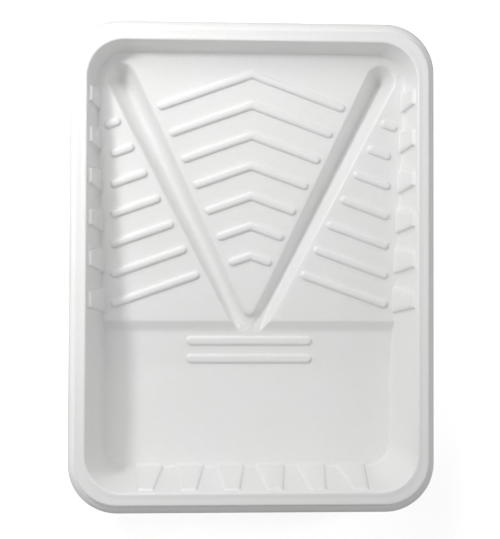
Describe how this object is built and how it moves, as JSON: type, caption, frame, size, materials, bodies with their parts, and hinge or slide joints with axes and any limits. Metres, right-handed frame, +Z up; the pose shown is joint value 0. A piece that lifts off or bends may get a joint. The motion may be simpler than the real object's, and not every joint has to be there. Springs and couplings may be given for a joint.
{
  "type": "paint roller tray",
  "caption": "White moulded-sheet tray for a nine-inch paint roller: a deep well at one end and a ribbed ramp with V channels rising to the other, under a stepped rim.",
  "frame": {"origin": "middle of the tray's box at its base, on the surface that the tray stands on", "axes": "+X to the right, +Y along the length towards the high end of the ramp, +Z up"},
  "size_m": [0.283, 0.38, 0.064],
  "materials": {
    "white_plastic": "smooth formed sheet, between satin and gloss"
  },
  "bodies": {
    "root": {"tray": "white_plastic"}
  },
  "joints": []
}
